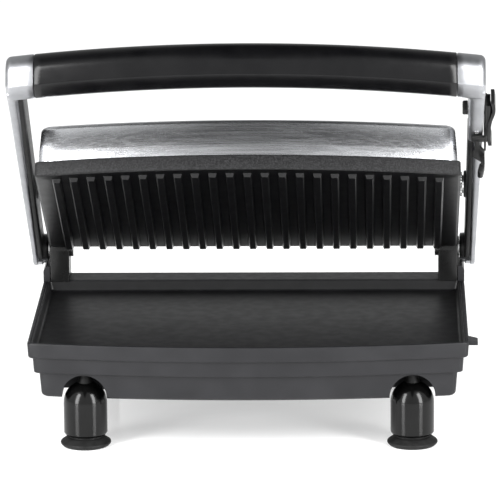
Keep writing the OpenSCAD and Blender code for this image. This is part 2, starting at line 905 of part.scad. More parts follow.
base_housing();
bottom_cover();
lower_plate();
lower_heating_element();
lower_heat_shield();
lower_thermostat();
thermal_fuse();
terminal_block();
cord_gland();
left_hinge_post();
right_hinge_post();
hinge_pins();
hinge_washers();
front_leg_left();
front_leg_right();
rear_leg_left();
rear_leg_right();
foot_pads();
leg_screws();
base_screws();
post_screws();
left_arm();
right_arm();
left_arm_liner();
right_arm_liner();
handle_grip();
handle_core();
handle_screws();
arm_screws();
lid_pivot_washers();
upper_plate();
lid_cover();
left_lid_bracket();
right_lid_bracket();
lid_pivot_pins();
upper_heating_element();
upper_heat_shield();
upper_thermostat();
lid_screws();
bracket_screws();
power_light_lens();
ready_light_lens();
latch_thumb_grip();
latch_hook();
latch_shoe();
latch_screw();
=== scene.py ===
"""Looks of the panini press: shells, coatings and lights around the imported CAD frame."""
import json
import math

import bmesh
import bpy
from mathutils import Matrix, Vector


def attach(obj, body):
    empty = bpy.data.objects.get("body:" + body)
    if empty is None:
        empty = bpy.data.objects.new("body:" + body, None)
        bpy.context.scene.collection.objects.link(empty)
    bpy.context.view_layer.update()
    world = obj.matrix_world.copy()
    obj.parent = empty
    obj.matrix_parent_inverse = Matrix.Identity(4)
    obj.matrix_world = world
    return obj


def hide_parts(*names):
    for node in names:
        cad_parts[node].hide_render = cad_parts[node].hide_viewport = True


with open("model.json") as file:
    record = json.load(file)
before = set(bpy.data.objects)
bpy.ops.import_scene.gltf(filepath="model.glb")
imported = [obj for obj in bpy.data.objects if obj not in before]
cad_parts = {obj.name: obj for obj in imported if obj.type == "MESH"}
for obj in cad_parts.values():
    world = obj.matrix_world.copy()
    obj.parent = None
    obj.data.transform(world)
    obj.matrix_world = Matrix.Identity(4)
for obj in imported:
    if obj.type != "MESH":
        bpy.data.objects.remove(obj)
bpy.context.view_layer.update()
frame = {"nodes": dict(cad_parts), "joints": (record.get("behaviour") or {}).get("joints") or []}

# ---- frames: pieces are drawn in millimetres, with base, arms and lid each drawn level ----
# On the arms, u runs from the hinge to the handle (-Y) and n runs down (-Z)

MM = 0.001
HINGE = Vector((0, 106, 113.7))          # arm hinge in the base drawing
PIVOT_REACH = 107                        # hinge to lid pivot
ARM_ANGLE = math.radians(42)
LID_ANGLE = math.radians(31)

JOINTS = {j["name"]: j for j in frame["joints"]}
hinge_at = Vector(JOINTS["arm_lift"]["pos_m"])
pivot_at = Vector(JOINTS["lid_tilt"]["pos_m"])

BASE = Matrix.Translation(hinge_at - HINGE * MM)
ARM = Matrix.Translation(hinge_at) @ Matrix.Rotation(-ARM_ANGLE, 4, "X")
LID = Matrix.Translation(pivot_at) @ Matrix.Rotation(-LID_ANGLE, 4, "X")

# ---- sizes shared by several pieces, in millimetres ----

RIM_HALF = 176
RIM_Z = 88
REAR_Y = 122
BASE_FORM = (RIM_HALF, -115, 16, REAR_Y)  # half width, front corner Y, bow, rear Y
BASE_Z = 41.8
FLOOR_Z = 79
PLATE_REAR = 96
POST_R = 15
POST_FRONT = 91.5
POST_BACK = 120.5
EAR_IN = 170.55
EAR_TOP = 100.6
BASE_SCREW_X = 159.6
LEG_X = 131
LEG_R = 17.5
LEG_FOOT = 9.5                           # where a leg starts above the table
DOME_Z = 35.5
NECK_Z = 53.2                            # from here up a front leg is its neck, given the matte rubber finish as painted shade for the niche it stands in
NECK_TOP = 60.1
FRONT_LEG_Y = -99
REAR_LEG_Y = 88
NICHE_R = 18.2
NICHE_Z = 43
NICHE_BACK = -79

LID_FORM = (170.2, -103.6, 17, 84.4)      # the same four sizes of the lid
RIB_COUNT = 23
RIB_PITCH = 13.9
RIB_H = 3
PLATE_UNDER = -27
BAND_TOP = -14.25
COVER_TOP = 17.75
COVER_INSET = 2.7
LENS_AT = (11, -88)

PIN_R = 5
LID_PIN_R = 4
RUN_GAP = 0.05
LINER_IN = 176
LINER_HALF = 12
BOSS_R = 11
ARM_IN = 180.3
ARM_OUT = 188.8
ARM_PIVOT_OUT = 184.6                    # the arm's outer face beside the hinge
ARM_HALF = 13
ARM_END_R = 15
HANDLE_REACH = 281
HANDLE_BOW = 20
HANDLE_R = 16
CREASE = Vector((10.5, 16))              # crisp edge of the handle's section, as (out, down)
GRIP_HALF = 166.4
HEEL_R = 8
CORE_R = 8.05
PAD_FROM = 200                           # where the right arm fills out to the liner's face
SLOT_FROM = 226
SLOT_TO = 266.8
SLOT_HALF = 3.5
LATCH_SCREW_U = 231.4
SHOE_HALF = 3.9

# Segments of a bowed edge and of each corner arc
BOW_STEPS = 44
CORNER_STEPS = 6


# ---- drawing helpers ----

# Turns a drawing's Z to run along X
ALONG_X = Matrix.Rotation(math.pi / 2, 4, "Y")
# Drawings in (X, u) are raised along Z, and those in (X, n) along the arm
X_U = Matrix(((1, 0, 0, 0), (0, -1, 0, 0), (0, 0, 1, 0), (0, 0, 0, 1)))
X_N = Matrix(((1, 0, 0, 0), (0, 0, -1, 0), (0, -1, 0, 0), (0, 0, 0, 1)))


def rounded(points, steps=6):
    """A polyline of (a, b, radius) corners as (a, b) points with each corner an arc."""
    out = []
    for i, (a, b, radius) in enumerate(points):
        corner = Vector((a, b))
        if radius == 0:
            out.append(corner)
            continue
        before = (Vector(points[i - 1][:2]) - corner).normalized()
        after = (Vector(points[(i + 1) % len(points)][:2]) - corner).normalized()
        half = before.angle(after) / 2
        centre = corner + (before + after).normalized() * radius / math.sin(half)
        start = corner + before * radius / math.tan(half) - centre
        end = corner + after * radius / math.tan(half) - centre
        sweep = math.atan2(start.x * end.y - start.y * end.x, start.dot(end))
        for k in range(steps + 1):
            out.append(centre + Matrix.Rotation(sweep * k / steps, 2) @ start)
    return out


def bowed_ring(form, side, front, rear, radius, z):
    """Outline with a bowed front, moved in by side, front and rear, as 3-D points at z."""
    half, corner_y, sag, rear_y = form
    bow_r = (half * half + sag * sag) / (2 * sag)
    centre_y = corner_y + bow_r - sag
    half, bow_r, rear_y = half - side, bow_r - front, rear_y - rear
    x = half - radius
    y = centre_y - math.sqrt((bow_r - radius) ** 2 - x * x)
    reach = math.atan2(x, centre_y - y)
    out = []
    for k in range(BOW_STEPS + 1):
        a = reach * (2 * k / BOW_STEPS - 1)
        out.append((bow_r * math.sin(a), centre_y - bow_r * math.cos(a), z))
    quarter = math.pi / 2
    corners = [(x, y, reach - quarter, 0), (x, rear_y - radius, 0, quarter),
               (-x, rear_y - radius, quarter, math.pi), (-x, y, math.pi, 3 * quarter - reach)]
    for cx, cy, a0, a1 in corners:
        for k in range(CORNER_STEPS + 1):
            a = a0 + (a1 - a0) * k / CORNER_STEPS
            out.append((cx + radius * math.cos(a), cy + radius * math.sin(a), z))
    return out[1:-1]


def band(bm, low, high):
    """Faces between two equal rings of vertices."""
    for i in range(len(low)):
        j = (i + 1) % len(low)
        bm.faces.new((low[i], low[j], high[j], high[i]))


def loft(bm, rings, loop=False):
    """Skin over equal rings; with loop the last joins the first, or else both ends close."""
    rows = [[bm.verts.new(p) for p in ring] for ring in rings]
    pairs = list(zip(rows, rows[1:]))
    if loop:
        pairs.append((rows[-1], rows[0]))
    for low, high in pairs:
        band(bm, low, high)
    if not loop:
        bm.faces.new(rows[0][::-1])
        bm.faces.new(rows[-1])
    return bm


def revolve(bm, profile, place=Matrix(), steps=48, flutes=0, depth=0):
    """A closed (radius, height) profile turned about Z; flutes cut waves in its outer points."""
    outer = max(r for r, z in profile)
    rings = []
    for k in range(steps):
        a = 2 * math.pi * k / steps
        dip = depth * (1 - math.cos(flutes * a)) / 2
        ring = []
        for r, z in profile:
            r -= dip if r > outer - 1 else 0
            ring.append(place @ Vector((r * math.cos(a), r * math.sin(a), z)))
        rings.append(ring)
    return loft(bm, rings, loop=True)


def extrude(bm, outline, low, high, place=Matrix(), edge=0):
    """A convex or simple (x, y) outline raised from low to high, with softened edges."""
    verts = [bm.verts.new((x, y, low)) for x, y in outline]
    face = bm.faces.new(verts)
    raised = bmesh.ops.extrude_face_region(bm, geom=[face])["geom"]
    top = [g for g in raised if isinstance(g, bmesh.types.BMVert)]
    for v in top:
        v.co.z = high
    if edge:
        around = dict.fromkeys(e for v in verts + top for e in v.link_edges if len(e.link_faces) == 2)
        sharp = [e for e in around if e.calc_face_angle(0) > math.radians(40)]
        made = bmesh.ops.bevel(bm, geom=sharp, offset=edge, segments=3, profile=0.5,
                               affect="EDGES", clamp_overlap=True)
        moved = set(v for f in made["faces"] for v in f.verts) | set(v for v in verts if v.is_valid)
        moved |= set(v for v in top if v.is_valid)
    else:
        moved = set(verts) | set(top)
    for v in moved:
        v.co = place @ v.co
    return bm


def block(bm, low, high, edge=0.6):
    """A box with softened edges."""
    outline = [(low[0], low[1]), (high[0], low[1]), (high[0], high[1]), (low[0], high[1])]
    return extrude(bm, outline, low[2], high[2], edge=edge)


def ribbon(path, thickness, steps=5):
    """Outline of a bar of that thickness along rounded (a, b, radius) points."""
    half = thickness / 2
    line = rounded(path, steps)
    left, right = [], []
    for i, p in enumerate(line):
        ahead = line[min(i + 1, len(line) - 1)] - line[max(i - 1, 0)]
        side = Vector((-ahead.y, ahead.x)).normalized() * half
        left.append(p + side)
        right.append(p - side)
    return left + right[::-1]


def mirrored(bm):
    """A copy of the drawing on the other side of X = 0."""
    out = bm.copy()
    bmesh.ops.scale(out, vec=(-1, 1, 1), verts=out.verts)
    bmesh.ops.reverse_faces(out, faces=out.faces)
    return out


def as_object(bm):
    bmesh.ops.recalc_face_normals(bm, faces=bm.faces)
    mesh = bpy.data.meshes.new("tool")
    bm.to_mesh(mesh)
    obj = bpy.data.objects.new("tool", mesh)
    bpy.context.scene.collection.objects.link(obj)
    return obj


def boolean(bm, tool, operation="DIFFERENCE"):
    """The drawing with a tool drawing cut away, added or kept."""
    body = as_object(bm)
    cutter = as_object(tool)
    step = body.modifiers.new("cut", "BOOLEAN")
    step.object = cutter
    step.operation = operation
    step.solver = "EXACT"
    made = body.evaluated_get(bpy.context.evaluated_depsgraph_get()).to_mesh()
    out = bmesh.new()
    out.from_mesh(made)
    for obj in (body, cutter):
        bpy.data.objects.remove(obj)
    bmesh.ops.remove_doubles(out, verts=out.verts, dist=0.002)
    bmesh.ops.dissolve_degenerate(out, edges=out.edges, dist=0.001)
    return out


def piece(name, bm, place, body, material, stands_for=(), sharp=32, pick=None):
    """The finished drawing as a piece of the object that rides on a body."""
    bmesh.ops.recalc_face_normals(bm, faces=bm.faces)
    materials = material if isinstance(material, list) else [material]
    if pick:
        for face in bm.faces:
            face.material_index = pick(face)
    mesh = bpy.data.meshes.new(name)
    bm.to_mesh(mesh)
    bm.free()
    mesh.transform(place @ Matrix.Scale(MM, 4))
    for m in materials:
        mesh.materials.append(m)
    mesh.shade_smooth()
    mesh.set_sharp_from_angle(angle=math.radians(sharp))
    obj = bpy.data.objects.new(name, mesh)
    bpy.context.scene.collection.objects.link(obj)
    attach(obj, body)
    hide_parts(*stands_for)
    return obj


# ---- materials ----

def srgb(value):
    """Linear brightness of an 8-bit screen value."""
    v = value / 255
    return v / 12.92 if v <= 0.04045 else ((v + 0.055) / 1.055) ** 2.4


def tint(r, g=None, b=None):
    g = r if g is None else g
    b = r if b is None else b
    return (srgb(r), srgb(g), srgb(b), 1)


class Surface:
    """A Principled material whose colour, roughness and relief come from noise in object space."""

    def __init__(self, name, stretch=(1, 1, 1), soft_edge=0, **fixed):
        self.material = bpy.data.materials.new(name)
        self.material.use_nodes = True
        self.tree = self.material.node_tree
        self.shader = self.tree.nodes["Principled BSDF"]
        for socket, value in fixed.items():
            self.shader.inputs[socket.replace("_", " ")].default_value = value
        place = self.tree.nodes.new("ShaderNodeTexCoord")
        self.mapping = self.tree.nodes.new("ShaderNodeMapping")
        self.mapping.inputs["Scale"].default_value = stretch
        self.tree.links.new(place.outputs["Object"], self.mapping.inputs["Vector"])
        self.relief = None
        if soft_edge:
            self.relief = self.tree.nodes.new("ShaderNodeBevel")
            self.relief.samples = 4
            self.relief.inputs["Radius"].default_value = soft_edge * MM
            self.tree.links.new(self.relief.outputs["Normal"], self.shader.inputs["Normal"])

    def grain(self, size, detail=3):
        """Noise whose features are about size millimetres across."""
        node = self.tree.nodes.new("ShaderNodeTexNoise")
        node.inputs["Scale"].default_value = 1 / (size * MM)
        node.inputs["Detail"].default_value = detail
        self.tree.links.new(self.mapping.outputs["Vector"], node.inputs["Vector"])
        return node.outputs["Fac"]

    def spread(self, source, low, high, start=0.35, end=0.65):
        node = self.tree.nodes.new("ShaderNodeMapRange")
        node.inputs["From Min"].default_value = start
        node.inputs["From Max"].default_value = end
        node.inputs["To Min"].default_value = low
        node.inputs["To Max"].default_value = high
        self.tree.links.new(source, node.inputs["Value"])
        return node.outputs["Result"]

    def colour(self, dark, light, size, detail=3, start=0.35, end=0.65):
        ramp = self.tree.nodes.new("ShaderNodeValToRGB")
        ramp.color_ramp.elements[0].color = dark
        ramp.color_ramp.elements[1].color = light
        self.tree.links.new(self.spread(self.grain(size, detail), 0, 1, start, end),
                            ramp.inputs["Fac"])
        self.tree.links.new(ramp.outputs["Color"], self.shader.inputs["Base Color"])
        return self

    def roughness(self, low, high, size, detail=3):
        self.tree.links.new(self.spread(self.grain(size, detail), low, high),
                            self.shader.inputs["Roughness"])
        return self

    def bump(self, size, height, detail=2):
        """Relief of that height in millimetres."""
        node = self.tree.nodes.new("ShaderNodeBump")
        node.inputs["Strength"].default_value = 1.0
        node.inputs["Distance"].default_value = height * MM
        self.tree.links.new(self.grain(size, detail), node.inputs["Height"])
        if self.relief:
            self.tree.links.new(self.relief.outputs["Normal"], node.inputs["Normal"])
        self.relief = node
        self.tree.links.new(node.outputs["Normal"], self.shader.inputs["Normal"])
        return self


def housing_plastic():
    s = Surface("housing_plastic", soft_edge=0.5, Specular_IOR_Level=0.24)
    s.colour(tint(24, 24, 26), tint(30, 30, 32), 30)
    s.roughness(0.40, 0.48, 6)
    return s.bump(1.2, 0.004).material


def plate_coating():
    s = Surface("plate_coating", soft_edge=0.3, Specular_IOR_Level=0.25)
    s.colour(tint(13, 13, 14), tint(19, 19, 20), 14)
    s.roughness(0.36, 0.42, 9)
    return s.bump(1.6, 0.003, 1).material


def cast_band():
    s = Surface("cast_band", soft_edge=0.4, Specular_IOR_Level=0.2)
    s.colour(tint(8, 8, 9), tint(40, 40, 41), 1.0, 4, 0.4, 0.68)
    s.roughness(0.42, 0.6, 2)
    return s.bump(1.4, 0.03, 3).material


def rib_coating():
    s = Surface("rib_coating", Specular_IOR_Level=0.3)
    s.colour(tint(6, 6, 7), tint(11, 11, 12), 10)
    s.roughness(0.30, 0.35, 9)
    return s.bump(2.2, 0.002, 1).material


def brushed_steel():
    s = Surface("brushed_steel", stretch=(0.012, 1, 1), Metallic=1.0)
    s.colour(tint(205, 206, 209), tint(215, 216, 219), 1.2, 3)
    s.roughness(0.24, 0.29, 1.4, 2)
    return s.bump(1.8, 0.0006, 1).material


def satin_aluminium():
    s = Surface("satin_aluminium", soft_edge=0.3, Metallic=1.0)
    s.colour(tint(158, 159, 162), tint(169, 170, 173), 12)
    s.roughness(0.29, 0.34, 5)
    return s.bump(1.5, 0.0015, 1).material


def post_black():
    s = Surface("post_black", soft_edge=0.3, Specular_IOR_Level=0.25)
    s.colour(tint(12), tint(18), 20)
    s.roughness(0.26, 0.32, 8)
    return s.bump(3, 0.003, 1).material


def leg_black():
    s = Surface("leg_black", Specular_IOR_Level=0.22)
    s.colour(tint(4), tint(8), 20)
    s.roughness(0.13, 0.17, 8)
    return s.bump(5, 0.002, 1).material


def grip_black():
    s = Surface("grip_black", Specular_IOR_Level=0.2)
    s.colour(tint(5, 5, 6), tint(9, 9, 10), 25)
    s.roughness(0.21, 0.25, 10)
    return s.bump(2.5, 0.0015, 1).material


def moulded_black():
    s = Surface("moulded_black", soft_edge=0.3, Specular_IOR_Level=0.3)
    s.colour(tint(10), tint(17), 8)
    s.roughness(0.38, 0.48, 3)
    return s.bump(0.9, 0.004, 1).material


def rubber():
    s = Surface("rubber", Specular_IOR_Level=0.2)
    s.colour(tint(14), tint(23), 5)
    s.roughness(0.5, 0.68, 2)
    return s.bump(0.9, 0.008).material


def zinc_steel(name="zinc_steel", dark=168, light=200, rough=(0.22, 0.36)):
    s = Surface(name, Metallic=1.0)
    s.colour(tint(dark), tint(light), 3)
    s.roughness(rough[0], rough[1], 1.5)
    return s.bump(0.6, 0.004).material


def tube_metal():
    s = Surface("tube_metal", Metallic=0.9)
    s.colour(tint(96, 88, 82), tint(140, 132, 124), 6)
    s.roughness(0.45, 0.6, 2)
    return s.bump(0.5, 0.02).material


def ceramic():
    s = Surface("ceramic", Specular_IOR_Level=0.4)
    s.colour(tint(196, 188, 168), tint(222, 216, 198), 4)
    s.roughness(0.5, 0.7, 2)
    return s.bump(0.4, 0.02).material


def lens(name, dark, light):
    s = Surface(name, Specular_IOR_Level=0.6, Transmission_Weight=0.25, IOR=1.49)
    s.colour(dark, light, 1.5)
    s.roughness(0.06, 0.12, 2)
    return s.bump(0.7, 0.01).material


HOUSING = housing_plastic()
COATING = plate_coating()
CAST = cast_band()
RIBS = rib_coating()
STEEL = brushed_steel()
SILVER = satin_aluminium()
LEG = leg_black()
GRIP = grip_black()
MOULDED = moulded_black()
POST = post_black()
RUBBER = rubber()
ZINC = zinc_steel()
BRIGHT = zinc_steel("bright_steel", 205, 225, (0.10, 0.2))


# ---- base ----

def base_ring(inset, z, radius=4.0):
    return bowed_ring(BASE_FORM, inset, 0.85 * inset, 0.4 * inset, radius, z)


def box_drawing(low, high):
    return block(bmesh.new(), low, high, 0)


def niches(radius, back, bottom):
    """The two arched niches for the front legs, open at the front and below."""
    bm = bmesh.new()
    arch = [(radius, bottom)]
    arch += [(radius * math.cos(a), NICHE_Z + radius * math.sin(a))
             for a in [math.pi * k / 40 for k in range(41)]]
    arch.append((-radius, bottom))
    for side in (-LEG_X, LEG_X):
        loft(bm, [[(side + x, y, z) for x, z in arch] for y in (back, -150)])
    return bm


def housing():
    outer = rounded([(6, RIM_Z, 0), (0, RIM_Z, 0.9), (0.7, 75.3, 2.2), (4, 75.3, 0.5),
                     (4.9, 62.6, 1.5), (9, 62.6, 0.5), (10.6, BASE_Z, 4.6), (17, BASE_Z, 0)])
    bm = loft(bmesh.new(), [base_ring(i, z) for i, z in outer])
    cavity = [(17, BASE_Z - 1), (17, 46.4), (14.5, 46.6), (12.8, 62), (8.4, 65.4), (7.3, 77.9)]
    inside = loft(bmesh.new(), [base_ring(i, z, 2) for i, z in cavity])
    inside = boolean(inside, niches(NICHE_R + 2.5, NICHE_BACK + 2.5, BASE_Z - 3))
    bm = boolean(bm, inside)
    seat_rear = REAR_Y - PLATE_REAR
    seat = [(2.8, 77.8), (2.8, RIM_Z - 0.5), (2.3, RIM_Z), (2.3, RIM_Z + 2)]
    bm = boolean(bm, loft(bmesh.new(), [bowed_ring(BASE_FORM, i, i, seat_rear + i - 2.8, 2, z)
                                        for i, z in seat]))
    bm = boolean(bm, box_drawing((-168.7, PLATE_REAR + 2.8, 70), (168.7, REAR_Y - 4.8, RIM_Z - 2.8)))
    bm = boolean(bm, niches(NICHE_R, NICHE_BACK, BASE_Z - 5))
    ears = bmesh.new()
    across = [(EAR_IN, RIM_Z - 0.6), (RIM_HALF, RIM_Z - 0.6), (RIM_HALF, 96.9), (174, EAR_TOP),
              (EAR_IN, EAR_TOP)]
    loft(ears, [[(x, y, z) for x, z in across] for y in (91, REAR_Y - 0.02)])
    wedge = [(175, 84), (183.2, 84), (183.2, 87), (175, 89)]
    lug = loft(bmesh.new(), [[(x, y, z) for x, z in wedge] for y in (-108, -96)])
    bm = boolean(bm, boolean(ears, mirrored(ears), "UNION"), "UNION")
    bm = boolean(bm, lug, "UNION")
    return piece("housing", bm, BASE, "base", HOUSING, ["base_housing"])


def bottom_panel():
    rings = [base_ring(i, z, 2) for i, z in
             rounded([(30, BASE_Z + 0.3, 0), (17.2, BASE_Z + 0.3, 0.5), (17.2, 44.6, 0.5), (30, 44.6, 0)])]
    bm = loft(bmesh.new(), rings)
    bm = boolean(bm, niches(NICHE_R + 2.8, NICHE_BACK + 2.8, BASE_Z - 3))
    vents = bmesh.new()
    for x in range(-90, 91, 15):
        for y in (-30, 25):
            slot = rounded([(x - 2, y - 18, 1.9), (x + 2, y - 18, 1.9),
                            (x + 2, y + 18, 1.9), (x - 2, y + 18, 1.9)], 4)
            extrude(vents, slot, BASE_Z - 1, 46)
    bm = boolean(bm, vents)
    wells = bmesh.new()
    for x in (-BASE_SCREW_X, BASE_SCREW_X):
        for y in (-55, 60):
            revolve(wells, [(0.01, 40), (4.3, 40), (4.3, 43.4), (2.2, 43.4), (2.2, 46), (0.01, 46)],
                    Matrix.Translation((x, y, 0)), 32)
    bm = boolean(bm, wells)
    return piece("bottom_panel", bm, BASE, "base", MOULDED, ["bottom_cover"])


def tray():
    """Non-stick insert with a rolled rim, drafted walls and a radiused flat floor."""
    shape = rounded([(30, 73.2, 0), (7.9, 73.2, 1), (7.9, 77.9, 0), (2.9, 77.9, 0.3),
                     (2.9, RIM_Z - 0.3, 0.7), (4.8, RIM_Z - 0.3, 0.7), (5.8, FLOOR_Z, 2.6),
                     (30, FLOOR_Z, 0)])
    rear = REAR_Y - PLATE_REAR
    rings = []
    for inset, z in shape:
        deep = rear + inset - 2.8
        rings.append(bowed_ring(BASE_FORM, inset, inset, deep, 2.2 if inset < 5 else 3.2, z))
    bm = loft(bmesh.new(), rings)
    return piece("tray", bm, BASE, "base", COATING, ["lower_plate"])


def hinge_post(side):
    """Tower with a rounded top that carries the arm's hinge pin."""
    profile = [(POST_FRONT, RIM_Z), (POST_BACK, RIM_Z), (POST_BACK, HINGE.z)]
    profile += [(HINGE.y + POST_R * math.cos(a), HINGE.z + POST_R * math.sin(a))
                for a in [math.pi * k / 24 for k in range(25)]]
    profile.append((POST_FRONT, HINGE.z))
    bm = bmesh.new()
    soft = [(154.3, 0.8), (154.8, 0.2), (155.3, 0), (169.5, 0), (170, 0.2), (170.5, 0.8)]
    rings = []
    middle = Vector((HINGE.y, 105))
    for x, inset in soft:
        ring = []
        for y, z in profile:
            way = middle - Vector((y, z))
            away = Vector((math.copysign(inset, way.x), 0))
            if z > RIM_Z + 0.1:
                away = way.normalized() * inset
            ring.append((x, y + away.x, z + away.y))
        rings.append(ring)
    loft(bm, rings)
    bore = revolve(bmesh.new(), [(0.01, -40), (5.02, -40), (5.02, 40), (0.01, 40)],
                   Matrix.Translation((162, HINGE.y, HINGE.z)) @ ALONG_X, 40)
    bm = boolean(bm, bore)
    if side == "left":
        bm = mirrored(bm)
    return piece(side + "_post", bm, BASE, "base", POST, [side + "_hinge_post"])


def legs():
    """Domed front legs with a neck above, the neck finished dark as painted shade for its niche, and plain
    rear legs.
    """
    dome = [(LEG_R * math.cos(a), DOME_Z + LEG_R * math.sin(a))
            for a in [math.radians(5 * k) for k in range(1, 15)]]
    foot = [(8, LEG_FOOT, 0), (16.4, LEG_FOOT, 0), (LEG_R, 11.2, 1.2), (LEG_R, DOME_Z, 0)]
    front = [tuple(p) for p in rounded(foot)] + dome
    front += [(6, DOME_Z + math.sqrt(LEG_R ** 2 - 36)), (5, 56), (5, NECK_TOP), (2.5, NECK_TOP)]
    front += [(2.5, 44), (8, 14.5)]
    top = BASE_Z - 0.05
    rear = [tuple(p) for p in rounded(foot[:3] + [(LEG_R, top, 0.8), (2.5, top, 0)])]
    rear += [(2.5, 26), (8, 14.5)]
    for side, x in (("left", -LEG_X), ("right", LEG_X)):
        bm = revolve(bmesh.new(), front, Matrix.Translation((x, FRONT_LEG_Y, 0)), 64)
        # Above NECK_Z the neck takes the matte rubber finish, a painted shade for the dark niche around it
        piece("front_leg_" + side + "_shell", bm, BASE, "base", [LEG, RUBBER],
              ["front_leg_" + side], pick=lambda face: int(face.calc_center_median().z > NECK_Z))
        bm = revolve(bmesh.new(), rear, Matrix.Translation((x, REAR_LEG_Y, 0)), 64)
        piece("rear_leg_" + side + "_shell", bm, BASE, "base", LEG, ["rear_leg_" + side])


def feet():
    profile = rounded([(0.01, 0.35, 0), (11, 0.35, 0.4), (11.6, 0, 0.4), (18.4, 0, 1.4), (21, 2.9, 1.5),
                       (15.4, 6.9, 2.0), (14, 7.4, 0.5), (13.2, 9.45, 0.4), (7.9, 9.45, 0.3),
                       (7.9, 14, 0.3), (0.01, 14, 0)], 5)
    bm = bmesh.new()
    for x in (-LEG_X, LEG_X):
        for y in (FRONT_LEG_Y, REAR_LEG_Y):
            revolve(bm, [tuple(p) for p in profile], Matrix.Translation((x, y, 0)), 64)
    return piece("rubber_feet", bm, BASE, "base", RUBBER, ["foot_pads"])


# ---- arms and handle ----

BOW_R = (ARM_OUT ** 2 + HANDLE_BOW ** 2) / (2 * HANDLE_BOW)
BOW_Y = BOW_R - HANDLE_REACH - HANDLE_BOW


def handle_ring(x, inset=0):
    """Handle section at x: round above, flat below, with one crisp edge low in front."""
    radius, heel = HANDLE_R - inset, HEEL_R - inset
    turn = math.atan2(CREASE.y, CREASE.x) - math.acos(HANDLE_R / CREASE.length)
    angles = [math.pi + (math.pi + turn) * k / 44 for k in range(45)]
    points = [Vector((math.cos(a), math.sin(a))) * radius for a in angles]
    crease = CREASE * (radius / HANDLE_R)
    before = (points[-1] - crease).normalized()
    after = Vector((-1, 0))
    points += [crease + before * 0.6, crease + (before + after) * 0.17, crease + after * 0.6]
    for k in range(10):
        a = math.pi / 2 * (1 + k / 9)
        points.append(Vector((heel * math.cos(a) - HEEL_R, heel * math.sin(a) + HEEL_R)))
    y = BOW_Y - math.sqrt(BOW_R ** 2 - x * x)
    return [(x, y - out, -down) for out, down in points]


def core_bore(low, high, steps=32):
    """Tool for the bore along the handle's bow between two X planes."""
    rings = []
    for k in range(steps + 1):
        x = low + (high - low) * k / steps
        y = BOW_Y - math.sqrt(BOW_R ** 2 - x * x)
        rings.append([(x, y + CORE_R * math.cos(a), CORE_R * math.sin(a))
                      for a in [2 * math.pi * n / 32 for n in range(32)]])
    return loft(bmesh.new(), rings)


def grip():
    ends = [(GRIP_HALF - 0.25, 0.9), (GRIP_HALF - 0.45, 0.35), (GRIP_HALF - 1.2, 0)]
    left = [(-x, d) for x, d in ends]
    middle = [(160 * (2 * k / 40 - 1), 0) for k in range(41)]
    right = ends[::-1]
    bm = loft(bmesh.new(), [handle_ring(x, d) for x, d in left + middle + right])
    bm = boolean(bm, core_bore(-180, 180))
    return piece("grip", bm, ARM, "arms", GRIP, ["handle_grip"], sharp=28)


def arm_inner(u, side):
    """X of the arm's inner face: straight, then a concave fillet into the handle cap."""
    face, start, radius = ARM_IN, 266.5, 7.0
    if side == "right" and u > PAD_FROM:
        face = LINER_IN + 0.4 * max(0, 1 - (u - PAD_FROM) / 0.7)
        start = 265.8
    reach = min(max(u - start, 0), radius * 0.985)
    return face - (radius - math.sqrt(radius ** 2 - reach ** 2))


def arm_outer(u):
    """X of the arm's outer face, which leans out towards the handle."""
    return ARM_PIVOT_OUT + (ARM_OUT - ARM_PIVOT_OUT) * max(u + 20, 0) / (HANDLE_REACH + 30)


def arm_outline(inset):
    """The arm seen from the side as (u, n): round at the hinge, deepening at the handle."""
    along = [20, 65, 110, 155, PAD_FROM - 0.05, PAD_FROM + 0.05, PAD_FROM + 0.7, 218, 236]
    along += [238.5 + 1.66 * k for k in range(26)]
    lower = [(u, ARM_HALF + 2.9 * (max(u - 236, 0) / 44) ** 2 - inset) for u in along]
    upper = [(u, inset - ARM_HALF) for u in reversed(along)]
    turn = [math.radians(-60 - 7.5 * k) for k in range(33)]
    end = [((ARM_END_R - inset) * math.cos(a), (ARM_END_R - inset) * math.sin(a)) for a in turn]
    return lower + upper + end


def arm_bar(side):
    """The arm's bar, its edges rounded a little more on the inner side."""
    rings = []
    for inset, depth in [(2.0, 0), (0.9, 0.3), (0.25, 0.95), (0, 1.9)]:
        rings.append([(arm_inner(u, side) + depth, -u, -n) for u, n in arm_outline(inset)])
    for inset, depth in [(0, 1.4), (0.45, 0.45), (1.5, 0)]:
        rings.append([(arm_outer(u) - depth, -u, -n) for u, n in arm_outline(inset)])
    return loft(bmesh.new(), rings)


def arm_cap():
    """Metal end of the handle, its outer edge rounded over."""
    ends = [(GRIP_HALF, 0.7), (GRIP_HALF + 0.3, 0.2), (GRIP_HALF + 0.9, 0)]
    ends += [(172, 0), (178, 0), (183, 0)]
    radius = 4.2
    for k in range(1, 9):
        a = math.radians(10 * k)
        ends.append((ARM_OUT - radius * (1 - math.sin(a)), radius * (1 - math.cos(a))))
    return loft(bmesh.new(), [handle_ring(x, d) for x, d in ends])


def hinge_cup():
    """Lip of the arm's end that wraps behind and below the liner's hinge boss."""
    rings = []
    for k in range(27):
        a = math.radians(-4 + 188 * k / 26)
        lip = [(11.08, 172.5), (12.6, 172.5), (12.8, 173), (12.9, 176.2), (14.4, 177.2), (14.4, 182),
               (11.08, 182)]
        rings.append([(x, r * math.sin(a), -r * math.cos(a)) for r, x in lip])
    return loft(bmesh.new(), rings)


def turned_on_x(profile, place=Matrix(), steps=40, **more):
    """Profile of (radius, X) turned about an axis along X."""
    return revolve(bmesh.new(), profile, place @ ALONG_X, steps, **more)


def pin_bore(pin_r, low, high, place=Matrix()):
    """Tool for a pin's bore between two X planes."""
    radius = pin_r + RUN_GAP
    return turned_on_x([(0.01, low), (radius, low), (radius, high), (0.01, high)], place)


